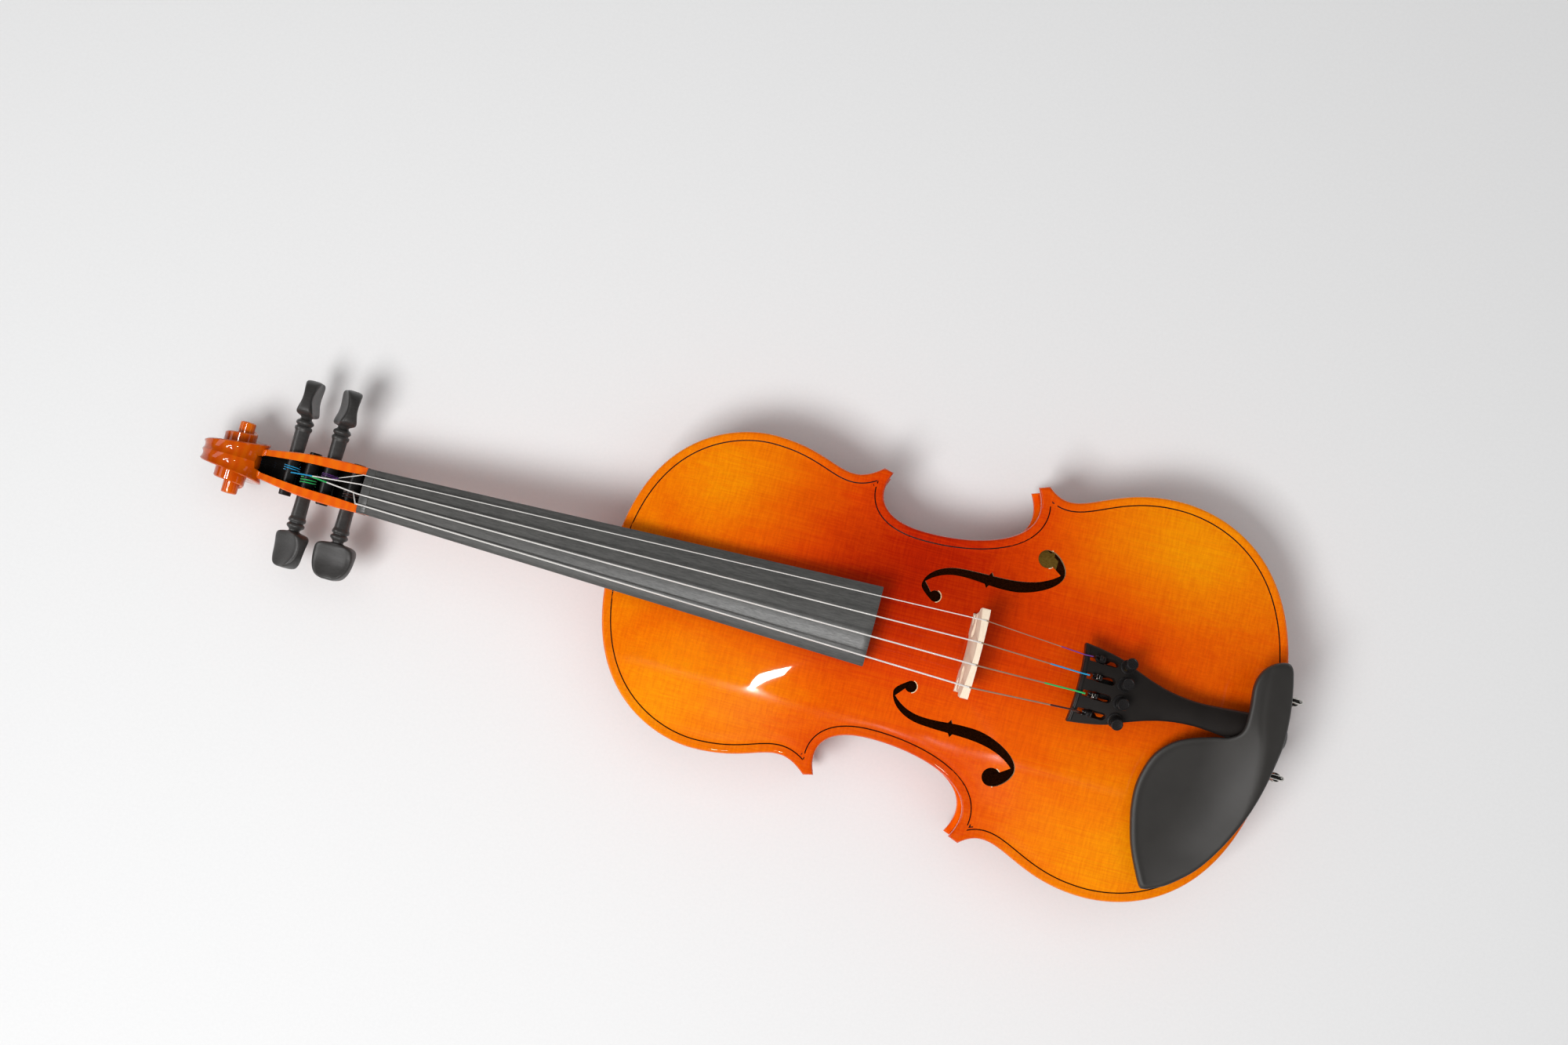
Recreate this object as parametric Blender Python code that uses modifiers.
"""A full-size (4/4) violin, modelled as the assembly of its separate pieces.

Frame: +X points from the tail end to the scroll, +Y to the bass (G string) side, +Z out of the
belly. The origin is on the small flat at the crown of the back, on which the violin rests.
Design dimensions are in millimetres, with x counted from the tail edge of the body. Every mesh
is written in metres.
"""

import math
from typing import NamedTuple

import bmesh
import bpy
import numpy as np
from mathutils import Matrix, Vector

MILLIMETRE = 0.001
SIDES = ((1, "bass"), (-1, "treble"))     # sign of y, name

# ---- driving dimensions shared between sections ----
ORIGIN_X = 220.0          # distance from the tail edge of the body to the origin
BODY_LENGTH = 356.0
EDGE_THICKNESS = 4.0      # of both plates
RIB_SPACE = 30.0          # between the inner faces of the plates at their edges
Z_BACK_EDGE = 11.0        # outer face of the back at its edge
Z_BACK_GLUE = Z_BACK_EDGE + EDGE_THICKNESS
Z_TOP_GLUE = Z_BACK_GLUE + RIB_SPACE
Z_TOP_EDGE = Z_TOP_GLUE + EDGE_THICKNESS
GAP = 0.2                 # glue gap left between neighbouring pieces

OVERHANG = 3.0            # plate edge beyond the ribs
RIB_THICKNESS = 1.2
RIB_LOW = Z_BACK_GLUE + GAP / 2
RIB_HIGH = Z_TOP_GLUE - GAP / 2

BRIDGE_X = 163.0
BRIDGE_TOP_Z = 93.5
STRING_ARC_R = 42.0       # crown radius of the fingerboard, nut and bridge
BOARD_END_X = 216.0
BOARD_NUT_X = 486.0
NUT_LENGTH = 5.2
SADDLE_HALF = 14.6
BUTTON_Z = 30.0           # axis of the end button

# Strings from the treble side to the bass side, and the pegs they wind on
STRING_ORDER = ("e", "a", "d", "g")
STRING_R = {"e": 0.25, "a": 0.34, "d": 0.40, "g": 0.42}
PEG_X = {"a": 535.0, "d": 524.0, "e": 513.4, "g": 499.0}
PEG_Z = {"a": 29.5, "d": 31.5, "e": 33.5, "g": 35.0}
PEG_SIDE = {"a": -1, "e": -1, "d": 1, "g": 1}     # side of the peg's head
PEG_CENTRE = {key: (PEG_X[key], 0.0, PEG_Z[key]) for key in STRING_ORDER}


# ---- scene and materials ----
for old in list(bpy.data.objects):
    bpy.data.objects.remove(old, do_unlink=True)
PARTS = bpy.data.collections.new("violin")
CUTTERS = bpy.data.collections.new("cutters")
bpy.context.scene.collection.children.link(PARTS)
bpy.context.scene.collection.children.link(CUTTERS)


class Finish(NamedTuple):
    name: str
    colour: tuple
    roughness: float
    metallic: float = 0.0


VARNISHED_SPRUCE = Finish("varnished_spruce", colour=(0.80, 0.22, 0.02), roughness=0.18)
VARNISHED_MAPLE = Finish("varnished_maple", colour=(0.72, 0.17, 0.02), roughness=0.18)
BARE_SPRUCE = Finish("bare_spruce", colour=(0.78, 0.62, 0.40), roughness=0.7)
BLACK_WOOD = Finish("blackened_wood", colour=(0.035, 0.036, 0.038), roughness=0.5)
PEG_WOOD = Finish("matte_black_wood", colour=(0.028, 0.029, 0.031), roughness=0.55)
COMPOSITE = Finish("black_composite", colour=(0.02, 0.02, 0.022), roughness=0.42)
BRIDGE_MAPLE = Finish("pale_maple", colour=(0.86, 0.70, 0.52), roughness=0.6)
STEEL = Finish("string_steel", colour=(0.75, 0.75, 0.76), roughness=0.25, metallic=1.0)
BLACK_METAL = Finish("black_metal", colour=(0.02, 0.02, 0.022), roughness=0.35, metallic=0.6)
NICKEL = Finish("nickel", colour=(0.70, 0.69, 0.66), roughness=0.25, metallic=1.0)
CORK = Finish("cork", colour=(0.55, 0.36, 0.20), roughness=0.85)
NYLON = Finish("tail_cord_nylon", colour=(0.03, 0.03, 0.03), roughness=0.5)
SILK = {
    "e": Finish("silk_violet", colour=(0.16, 0.05, 0.35), roughness=0.7),
    "a": Finish("silk_blue", colour=(0.03, 0.22, 0.60), roughness=0.7),
    "d": Finish("silk_green", colour=(0.03, 0.45, 0.12), roughness=0.7),
    "g": Finish("silk_black", colour=(0.03, 0.02, 0.03), roughness=0.7),
}


def material(finish):
    """The material of this finish, made at its first use."""
    found = bpy.data.materials.get(finish.name)
    if found:
        return found
    made = bpy.data.materials.new(finish.name)
    made.use_nodes = True
    shader = made.node_tree.nodes["Principled BSDF"]
    shader.inputs["Base Color"].default_value = (*finish.colour, 1)
    shader.inputs["Roughness"].default_value = finish.roughness
    shader.inputs["Metallic"].default_value = finish.metallic
    made.diffuse_color = (*finish.colour, 1)
    return made


def place(obj, finish=None, helper=False):
    """Links an object as a piece of the violin, or as a hidden helper."""
    (CUTTERS if helper else PARTS).objects.link(obj)
    if helper:
        obj.hide_render = True
        obj.display_type = "WIRE"
    if finish:
        obj.data.materials.append(material(finish))
    return obj


def to_world(x, y, z):
    return Vector(((x - ORIGIN_X) * MILLIMETRE, y * MILLIMETRE, z * MILLIMETRE))


def read_table(table, where):
    """Linear reading of a table of (position, value) rows."""
    positions, values = np.array(table, float).T
    return float(np.interp(where, positions, values))


# ---- lines in the plan ----
def bezier(arc, steps):
    """Points of one cubic arc: start, start angle, start handle, end handle, end angle, end."""
    start, start_angle, start_handle, end_handle, end_angle, end = arc
    start, end = np.array(start, float), np.array(end, float)
    start_angle, end_angle = math.radians(start_angle), math.radians(end_angle)
    leave = start + start_handle * np.array([math.cos(start_angle), math.sin(start_angle)])
    arrive = end - end_handle * np.array([math.cos(end_angle), math.sin(end_angle)])
    t = np.linspace(0, 1, steps + 1)[:, None]
    rest = 1 - t
    return rest**3 * start + 3 * rest**2 * t * leave + 3 * rest * t * t * arrive + t**3 * end


def join_arcs(*arcs):
    """Arcs put end to end, without repeating the points they share."""
    points = [arcs[0]]
    for arc in arcs[1:]:
        points.append(arc[1:] if np.allclose(arc[0], points[-1][-1]) else arc)
    return np.vstack(points)


def closed_halves(half):
    """Closes a half plan that stays off the centre line with its mirror image."""
    half = np.array(half)
    return np.vstack([half, half[::-1] * [1, -1]])


def across_centre(line):
    """A line that starts on the centre line, led by its mirror image."""
    return np.vstack([(line * [1, -1])[::-1][:-1], line])


def inset(line, distance):
    """The line moved to the right of its direction: inwards on the bass side."""
    tangent = np.gradient(line, axis=0)
    tangent /= np.linalg.norm(tangent, axis=1)[:, None]
    return line + distance * np.stack([tangent[:, 1], -tangent[:, 0]], 1)


def crossing(first, second):
    """Where two open lines cross: (index on first, index on second, point), nearest first's end."""
    for i in range(len(first) - 2, -1, -1):
        for j in range(len(second) - 1):
            start, step = first[i], first[i + 1] - first[i]
            between, other_step = second[j] - start, second[j + 1] - second[j]
            cross = step[0] * other_step[1] - step[1] * other_step[0]
            if abs(cross) < 1e-12:
                continue
            along = (between[0] * other_step[1] - between[1] * other_step[0]) / cross
            along_other = (between[0] * step[1] - between[1] * step[0]) / cross
            if -1e-9 <= along <= 1 + 1e-9 and -1e-9 <= along_other <= 1 + 1e-9:
                return i, j, start + along * step
    raise ValueError("the lines do not cross")


def extended(line, start, end):
    """The line made longer at both ends along its end directions."""
    first = line[0] + (line[0] - line[1]) / np.linalg.norm(line[0] - line[1]) * start
    last = line[-1] + (line[-1] - line[-2]) / np.linalg.norm(line[-1] - line[-2]) * end
    return np.vstack([first, line, last])


def trimmed(line, start=0.0, end=0.0):
    """The open line shortened by these lengths at its ends."""
    def cut(points, length):
        while length > 0:
            step = np.linalg.norm(points[1] - points[0])
            if step > length + 1e-6:
                entry = points[0] + (points[1] - points[0]) * length / step
                return np.vstack([entry, points[1:]])
            points, length = points[1:], length - step
        return points
    return cut(cut(line, start)[::-1], end)[::-1]


def distance_along(line):
    """Distance of each point from the start of the line."""
    steps = np.linalg.norm(np.diff(line, axis=0), axis=1)
    return np.concatenate([[0], np.cumsum(steps)])


def first_part(line, length):
    return trimmed(line, 0, distance_along(line)[-1] - length)


def last_part(line, length):
    return first_part(line[::-1], length)[::-1]


def resampled(line, count):
    """The open line with this many points at equal steps along it."""
    along = distance_along(line)
    wanted = np.linspace(0, along[-1], count)
    return np.stack([np.interp(wanted, along, line[:, axis]) for axis in (0, 1)], 1)


# ---- modelling helpers ----
def smooth(obj, degrees):
    obj.data.shade_smooth()
    obj.data.set_sharp_from_angle(angle=math.radians(degrees))


def mesh_object(name, solid, finish=None, helper=False):
    """A placed object from a bmesh, with its normals turned outwards."""
    bmesh.ops.recalc_face_normals(solid, faces=solid.faces)
    mesh = bpy.data.meshes.new(name)
    solid.to_mesh(mesh)
    solid.free()
    return place(bpy.data.objects.new(name, mesh), finish, helper)


def add_points(curve, points):
    """Adds a polyline to a curve and returns it. Points are in metres."""
    spline = curve.splines.new("POLY")
    spline.points.add(len(points) - 1)
    for target, point in zip(spline.points, points):
        target.co = (*point, 1)
    return spline


def outline_guide(name, points, half_depth, matrix):
    """A filled closed outline, extruded to both sides of its plane."""
    curve = bpy.data.curves.new(name, "CURVE")
    curve.dimensions = "2D"
    curve.fill_mode = "BOTH"
    curve.extrude = half_depth * MILLIMETRE
    flat = [(a * MILLIMETRE, b * MILLIMETRE, 0) for a, b in points]
    add_points(curve, flat).use_cyclic_u = True
    guide = bpy.data.objects.new(name, curve)
    CUTTERS.objects.link(guide)
    guide.matrix_world = matrix
    return guide


def as_mesh(guide, name, finish=None, helper=False):
    """Replaces a guide curve with its evaluated mesh, welded, at the same place."""
    bpy.context.view_layer.update()
    graph = bpy.context.evaluated_depsgraph_get()
    mesh = bpy.data.meshes.new_from_object(guide.evaluated_get(graph))
    mesh.name = name
    mesh.materials.clear()
    obj = bpy.data.objects.new(name, mesh)
    world = guide.matrix_world.copy()
    bpy.data.objects.remove(guide, do_unlink=True)
    solid = bmesh.new()
    solid.from_mesh(mesh)
    solid.transform(world)
    bmesh.ops.remove_doubles(solid, verts=solid.verts, dist=1e-6)
    bmesh.ops.dissolve_degenerate(solid, dist=1e-7, edges=solid.edges)
    bmesh.ops.recalc_face_normals(solid, faces=solid.faces)
    solid.to_mesh(mesh)
    solid.free()
    return place(obj, finish, helper)


def flat_piece(name, points, low, high, plane="XY", finish=None, helper=False):
    """A closed outline in this plane, extruded between two levels of the remaining axis."""
    middle = (low + high) / 2
    if plane == "XY":
        matrix = Matrix.Translation(to_world(0, 0, middle))
    elif plane == "XZ":
        turn = Matrix.Rotation(math.pi / 2, 4, "X")
        matrix = Matrix.Translation(to_world(0, middle, 0)) @ turn
    else:  # YZ
        turn = Matrix(((0, 0, 1, 0), (1, 0, 0, 0), (0, 1, 0, 0), (0, 0, 0, 1)))
        matrix = Matrix.Translation(to_world(middle, 0, 0)) @ turn
    guide = outline_guide(name + "_outline", points, (high - low) / 2, matrix)
    return as_mesh(guide, name, finish, helper)


def boolean(obj, other, operation="DIFFERENCE"):
    modifier = obj.modifiers.new(operation.lower() + "_" + other.name, "BOOLEAN")
    modifier.operation = operation
    modifier.object = other
    modifier.solver = "EXACT"
    return obj


def bake(obj):
    """Replaces the object's mesh with its evaluated mesh and drops the modifiers."""
    materials = list(obj.data.materials)
    bpy.context.view_layer.update()
    graph = bpy.context.evaluated_depsgraph_get()
    mesh = bpy.data.meshes.new_from_object(obj.evaluated_get(graph))
    obj.modifiers.clear()
    solid = bmesh.new()
    solid.from_mesh(mesh)
    bmesh.ops.remove_doubles(solid, verts=solid.verts, dist=2e-6)
    bmesh.ops.dissolve_degenerate(solid, dist=1e-6, edges=solid.edges)
    solid.to_mesh(mesh)
    solid.free()
    mesh.materials.clear()
    for kept in materials:
        mesh.materials.append(kept)
    for polygon in mesh.polygons:
        polygon.material_index = 0
    obj.data = mesh
    return obj


def turned(name, profile, base, axis, steps, finish=None, helper=False):
    """A turned piece: (radius, height) points from the far end of the axis, spun with Screw."""
    mesh = bpy.data.meshes.new(name)
    points = [(radius * MILLIMETRE, 0, height * MILLIMETRE) for radius, height in profile]
    mesh.from_pydata(points, [(i, i + 1) for i in range(len(points) - 1)], [])
    obj = place(bpy.data.objects.new(name, mesh), finish, helper)
    turn = Vector((0, 0, 1)).rotation_difference(Vector(axis).normalized())
    obj.matrix_world = Matrix.Translation(to_world(*base)) @ turn.to_matrix().to_4x4()
    screw = obj.modifiers.new("spin", "SCREW")
    screw.axis = "Z"
    screw.angle = 2 * math.pi
    screw.steps = screw.render_steps = steps
    screw.use_merge_vertices = True
    screw.merge_threshold = 1e-5
    screw.use_smooth_shade = False
    if not helper:
        smooth(obj, 40)
    return obj


def cylinder(radius, high, low):
    """Turning profile of a plain cylinder."""
    return [(0, high), (radius, high), (radius, low), (0, low)]


def tube(name, points, radius, finish, resolution):
    """A round wire with capped ends along these points."""
    curve = bpy.data.curves.new(name, "CURVE")
    curve.dimensions = "3D"
    curve.bevel_depth = radius * MILLIMETRE
    curve.bevel_resolution = resolution
    curve.use_fill_caps = True
    add_points(curve, [to_world(*point) for point in points])
    place(bpy.data.objects.new(name, curve), finish)


def box(name, low, high, frame=to_world):
    """A helper box between two corners, given in this frame."""
    solid = bmesh.new()
    bmesh.ops.create_cube(solid, size=1.0)
    for vert in solid.verts:
        corner = [a if sign < 0 else b for sign, a, b in zip(vert.co, low, high)]
        vert.co = frame(*corner)
    return mesh_object(name, solid, helper=True)


def loft(name, rings, finish=None, helper=False):
    """A closed skin through rings of equally many points, with both ends capped."""
    solid = bmesh.new()
    rows = [[solid.verts.new(to_world(*point)) for point in ring] for ring in rings]
    count = len(rings[0])
    for row, following in zip(rows, rows[1:]):
        for i in range(count):
            j = (i + 1) % count
            solid.faces.new((row[i], row[j], following[j], following[i]))
    solid.faces.new(rows[0][::-1])
    solid.faces.new(rows[-1])
    bmesh.ops.remove_doubles(solid, verts=solid.verts, dist=1e-7)
    return mesh_object(name, solid, finish, helper)


def sheet(name, x_range, y_range, cells, upper, lower, finish=None, helper=False):
    """A block from a grid whose upper and lower faces follow two height functions."""
    solid = bmesh.new()
    bmesh.ops.create_grid(solid, x_segments=cells[0], y_segments=cells[1], size=0.5)
    for vert in solid.verts:
        vert.co.x = x_range[0] + (vert.co.x + 0.5) * (x_range[1] - x_range[0])
        vert.co.y = y_range[0] + (vert.co.y + 0.5) * (y_range[1] - y_range[0])
    bottom = list(solid.verts)
    moved = bmesh.ops.extrude_face_region(solid, geom=list(solid.faces))
    top = [item for item in moved["geom"] if isinstance(item, bmesh.types.BMVert)]
    for verts, height in ((top, upper), (bottom, lower)):
        for vert in verts:
            vert.co = to_world(vert.co.x, vert.co.y, height(vert.co.x, vert.co.y))
    return mesh_object(name, solid, finish, helper)


def set_origin(obj, point):
    """Moves the object's origin to this point without moving its shape."""
    shift = Matrix.Translation(to_world(*point))
    obj.data.transform(shift.inverted() @ obj.matrix_world)
    obj.matrix_world = shift


# ---- outline and arching of the body ----
# Bass half of the outline, as arcs for bezier()
LOWER_END = ((0, 0), 90, 90.8, 25.4, 0, (77, 105))
LOWER_SIDE = ((77, 105), 0, 39.4, 23.5, 41.9, (145, 95.1))
C_LOWER = ((150.6, 93.0), -120.6, 30.3, 30.6, 0, (201, 55.4))
C_UPPER = ((201, 55.4), 0, 27.0, 13.0, 115.5, (225.4, 80.9))
UPPER_SIDE = ((230.6, 82.2), -41, 25.0, 35.3, 0, (290, 84.0))
UPPER_END = ((290, 84.0), 0, 20.0, 70.5, -90, (BODY_LENGTH, 0))

# x, half width of the arched field (it passes the corners by)
ARCH_FIELD = (
    (0, 0), (4, 30), (8, 46), (20, 69), (44, 90), (76, 98), (100, 94.5), (122, 86), (135, 78),
    (147, 68), (158, 59.5), (174, 52.3), (200, 48.6), (218, 50), (230, 56), (240, 63), (252, 69),
    (270, 75), (290, 77), (310, 73), (326, 65), (338, 54.5), (346, 42), (351, 25), (356, 0),
)
ARCH_START_X = 6.0
ARCH_CREST_X = 195.0
ARCH_END_X = 350.0
FIELD_SHRINK = 2.5        # the hollow inside starts this much further in than the arching
TOP_ARCH = 11.5           # rise of the belly above its edge
TOP_THICKNESS = 3.0
BACK_ARCH = 11.0
BACK_THICKNESS = 4.2
BACK_CROWN_FLAT = 0.55    # depth cut flat at the crown of the back: the resting face


def lower_bout():
    return join_arcs(bezier(LOWER_END, 16), bezier(LOWER_SIDE, 8))


def c_bout():
    return join_arcs(bezier(C_LOWER, 8), bezier(C_UPPER, 5))


def upper_bout():
    return join_arcs(bezier(UPPER_SIDE, 6), bezier(UPPER_END, 12))


def plate_outline():
    half = np.vstack([lower_bout(), c_bout(), upper_bout()])
    return np.vstack([half, half[::-1][1:-1] * [1, -1]])


def arch(x, y, rise, shrink=0.0):
    """Height of the arching above the plate's edge at (x, y)."""
    if x > ARCH_CREST_X:
        reach = ARCH_END_X - shrink - ARCH_CREST_X
    else:
        reach = ARCH_CREST_X - ARCH_START_X - shrink
    half = max(read_table(ARCH_FIELD, x) - shrink, 1.0)
    along = max(1 - abs((x - ARCH_CREST_X) / reach) ** 3.0, 0) ** 1.15
    across = max(1 - (y / half) ** 2, 0) ** 1.7
    return rise * along * across


def top_outside(x, y):
    return Z_TOP_EDGE + arch(x, y, TOP_ARCH)


def top_inside(x, y):
    rise = TOP_ARCH + EDGE_THICKNESS - TOP_THICKNESS
    return Z_TOP_GLUE + GAP / 2 + arch(x, y, rise, FIELD_SHRINK)


def back_inside(x, y):
    rise = BACK_ARCH + EDGE_THICKNESS - BACK_THICKNESS
    return Z_BACK_GLUE - GAP / 2 - arch(x, y, rise, FIELD_SHRINK)


def back_outside(x, y):
    return Z_BACK_EDGE - arch(x, y, BACK_ARCH + BACK_CROWN_FLAT)


def crown_drop(y, radius=STRING_ARC_R):
    """Drop of a circular crown at this distance from its middle."""
    return radius - math.sqrt(radius * radius - y * y)


# ---- plates ----
# Bass sound hole: (arc, steps) along its edges, and the round eyes at the ends
HOLE_EDGE_DOWN = (    # from the upper eye to the lower eye
    (((191.1, 21.9), 38, 3.0, 2.6, 95, (197.0, 28.6)), 3),
    (((197.0, 28.6), 95, 6.5, 9.0, 174, (180.0, 41.4)), 5),
    (((180.0, 41.4), 174, 18.0, 18.0, 138, (129.0, 51.0)), 7),
)
HOLE_EDGE_UP = (      # from the lower eye to the upper eye
    (((135.3, 62.4), 190, 3.5, 4.5, -90, (126.6, 52.0)), 4),
    (((126.6, 52.0), -90, 7.5, 9.0, -6, (150.0, 36.7)), 6),
    (((150.0, 36.7), -6, 18.0, 18.0, -44, (195.5, 30.4)), 6),
)
UPPER_EYE = ((188.9, 24.0), 3.0, 32, 312, 8)       # centre, radius, first and last degree, steps
LOWER_EYE = ((137.3, 57.9), 4.8, -135, 112, 10)

PLATE_X = (-4, 372)       # extent of the grids the plates are cut from
PLATE_Y = (-112, 112)
PLATE_CELLS = (28, 16)
BUTTON_TAB_X = 357.0      # centre of the half-oval button of the back
BUTTON_TAB_LENGTH = 11.0
BUTTON_TAB_HALF = 10.6
HEEL_BUTTON_HALF = 10.4   # half width of the neck's heel at the button
HEEL_SPREAD = 0.151       # its growth towards the belly
HEEL_PLAY = 0.25


def sound_hole_outline(side):
    def eye(centre, radius, first, last, steps):
        angle = np.radians(np.linspace(first, last, steps + 1))
        return np.array(centre) + radius * np.stack([np.cos(angle), np.sin(angle)], 1)

    down, up = (
        join_arcs(*(bezier(arc, steps) for arc, steps in edge))
        for edge in (HOLE_EDGE_DOWN, HOLE_EDGE_UP)
    )
    return np.vstack([down, eye(*LOWER_EYE), up, eye(*UPPER_EYE)]) * [1, side]


def heel_half(z):
    return HEEL_BUTTON_HALF + HEEL_SPREAD * (z - Z_BACK_GLUE)


def make_heel_notch():
    """Cutter for the neck's heel, used on the top, the upper ribs and the neck block."""
    corners = ((12, -1), (62, -1), (62, 1), (12, 1))      # z, side
    rings = [
        [(x, side * (heel_half(z) + HEEL_PLAY), z) for z, side in corners] for x in (348.8, 380)
    ]
    return loft("heel_notch", rings, helper=True)


def make_top(heel_notch):
    top = sheet("top_plate", PLATE_X, PLATE_Y, PLATE_CELLS, top_outside, top_inside,
                VARNISHED_SPRUCE)
    outline = flat_piece("top_plate_shape", plate_outline(), 40, 70, helper=True)
    boolean(top, outline, "INTERSECT")
    for side, word in SIDES:
        hole = flat_piece("sound_hole_" + word, sound_hole_outline(side), 40, 70, helper=True)
        boolean(top, hole)
    notch_half = SADDLE_HALF + 0.3
    boolean(top, box("saddle_notch", (-3, -notch_half, 40), (6.2, notch_half, 60)))
    boolean(top, heel_notch)
    bake(top)


def make_back():
    back = sheet("back_plate", PLATE_X, PLATE_Y, PLATE_CELLS, back_inside, back_outside,
                 VARNISHED_MAPLE)
    outline = flat_piece("back_plate_shape", plate_outline(), -4, 20, helper=True)
    angle = np.radians(np.linspace(-90, 90, 11))
    oval = np.stack([BUTTON_TAB_X + BUTTON_TAB_LENGTH * np.cos(angle),
                     BUTTON_TAB_HALF * np.sin(angle)], 1)
    tab = np.vstack([[[350, -BUTTON_TAB_HALF]], oval, [[350, BUTTON_TAB_HALF]]])
    bake(boolean(outline, flat_piece("back_plate_button", tab, -4, 20, helper=True), "UNION"))
    boolean(back, outline, "INTERSECT")
    boolean(back, box("crown_flat", (100, -30, -6), (300, 30, 0)))
    bake(back)


# ---- ribs with their linings ----
LINING_THICKNESS = 2.0
LINING_HEIGHT = 7.0
BARE_STEP = 0.12          # step left in the rib's section where it carries no lining
CORNER_PLAY = 0.15        # length left off a rib where it meets the next
HEEL_END = 9.5            # length left off the upper ribs at the heel
BLOCK_REACH = 24.0        # how far a corner block runs along the lower or upper rib
BLOCK_REACH_C = 17.0      # and along the C rib
END_BLOCK_HALF = 25.0
LOWER, WAIST, UPPER = 0, 1, 2     # indices into rib_lines()


def rib_lines(distance):
    """Lower, C and upper lines this far inside the bass plate edge, meeting at the corners."""
    low = extended(inset(lower_bout(), distance), 0, 8)
    waist = extended(inset(c_bout(), distance), 8, 8)
    high = extended(inset(upper_bout(), distance), 8, 0)
    i, j, corner = crossing(low, waist)
    low = np.vstack([low[: i + 1], corner])
    waist = np.vstack([corner, waist[j + 1 :]])
    i, j, corner = crossing(waist, high)
    waist = np.vstack([waist[: i + 1], corner])
    high = np.vstack([corner, high[j + 1 :]])
    # both outer ends are put exactly on the centre line
    low = np.vstack([[[distance, 0]], low[2:]])
    high = np.vstack([high[:-2], [[BODY_LENGTH - distance, 0]]])
    return low, waist, high


def rib_faces(index, start, end, count):
    """Outer, inner, lining and bare lines of a rib, each with the same number of points."""
    inner = OVERHANG + RIB_THICKNESS
    distances = (OVERHANG, inner, inner + LINING_THICKNESS, inner + BARE_STEP)
    return [resampled(trimmed(rib_lines(d)[index], start, end), count) for d in distances]


def lined_part(line, start, end):
    """For each point, whether it carries the lining: not within these lengths of the ends."""
    along = distance_along(line)
    return (along > start) & (along < along[-1] - end)


def make_rib(name, faces, lined, side):
    """A rib with a lining along both edges: a channel section, bare over the blocks."""
    top_step = RIB_HIGH - LINING_HEIGHT
    bottom_step = RIB_LOW + LINING_HEIGHT
    rings = []
    for outer, inner, lining, bare, has_lining in zip(*faces, lined):
        tip = lining if has_lining else bare
        section = ((outer, RIB_LOW), (outer, RIB_HIGH), (tip, RIB_HIGH), (tip, top_step),
                   (inner, top_step), (inner, bottom_step), (tip, bottom_step), (tip, RIB_LOW))
        rings.append([(point[0], point[1] * side, z) for point, z in section])
    return loft(name, rings, VARNISHED_MAPLE)


def make_ribs(heel_notch, button_hole):
    faces = rib_faces(LOWER, 0, CORNER_PLAY, 28)
    lined = lined_part(faces[0], END_BLOCK_HALF + 11.0, BLOCK_REACH + 11.0)
    both_sides = np.concatenate([lined[::-1][:-1], lined])
    lower = make_rib("rib_lower", [across_centre(line) for line in faces], both_sides, 1)
    bake(boolean(lower, button_hole))
    for side, word in SIDES:
        faces = rib_faces(WAIST, CORNER_PLAY, CORNER_PLAY, 19)
        lined = lined_part(faces[0], BLOCK_REACH_C + 8.0, BLOCK_REACH_C + 8.0)
        make_rib("rib_waist_" + word, faces, lined, side)
        faces = rib_faces(UPPER, CORNER_PLAY, HEEL_END, 26)
        lined = lined_part(faces[0], BLOCK_REACH + 9.0, 29.0)
        bake(boolean(make_rib("rib_upper_" + word, faces, lined, side), heel_notch))


# ---- blocks ----
BLOCK_PLAY = 0.65         # between a block and the inner face of its rib
NECK_BLOCK_HALF = 27.0    # measured along the rib
END_BLOCK_X = 19.0        # faces of the end and neck blocks inside the body
NECK_BLOCK_X = 332.0


def make_button_hole():
    """Tapered cutter for the end button's shank."""
    profile = [(0, 30), (4.5, 30), (3.6, -6), (0, -6)]
    return turned("button_hole", profile, (17, 0, BUTTON_Z), (-1, 0, 0), 16, helper=True)


def make_corner_blocks():
    low, waist, high = rib_lines(OVERHANG + RIB_THICKNESS + BLOCK_PLAY)
    corners = (("lower", low, BLOCK_REACH, waist, BLOCK_REACH_C),
               ("upper", waist, BLOCK_REACH_C, high, BLOCK_REACH))
    for side, word in SIDES:
        for corner, before, reach_before, after, reach_after in corners:
            outline = np.vstack([last_part(before, reach_before),
                                 first_part(after, reach_after)[1:]])
            flat_piece(f"corner_block_{corner}_{word}", outline * [1, side],
                       RIB_LOW, RIB_HIGH, finish=BARE_SPRUCE)


def centre_block(name, half_line, face_x, cutter):
    """A block across the centre line, from its rib line to a flat inner face."""
    line = across_centre(half_line)
    outline = np.vstack([line, [[face_x, line[-1][1]], [face_x, line[0][1]]]])
    block = flat_piece(name, outline, RIB_LOW, RIB_HIGH, finish=BARE_SPRUCE)
    bake(boolean(block, cutter))


def make_centre_blocks(heel_notch, button_hole):
    low, _, high = rib_lines(OVERHANG + RIB_THICKNESS + BLOCK_PLAY)
    centre_block("end_block", first_part(low, END_BLOCK_HALF), END_BLOCK_X, button_hole)
    centre_block("neck_block", first_part(high[::-1], NECK_BLOCK_HALF), NECK_BLOCK_X, heel_notch)


# ---- bass bar and sound post ----
BAR_START_X = 48
BAR_LENGTH = 268
BAR_Y = 17.5              # at the bridge
POST_X, POST_Y = 157.0, -20.5


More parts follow.
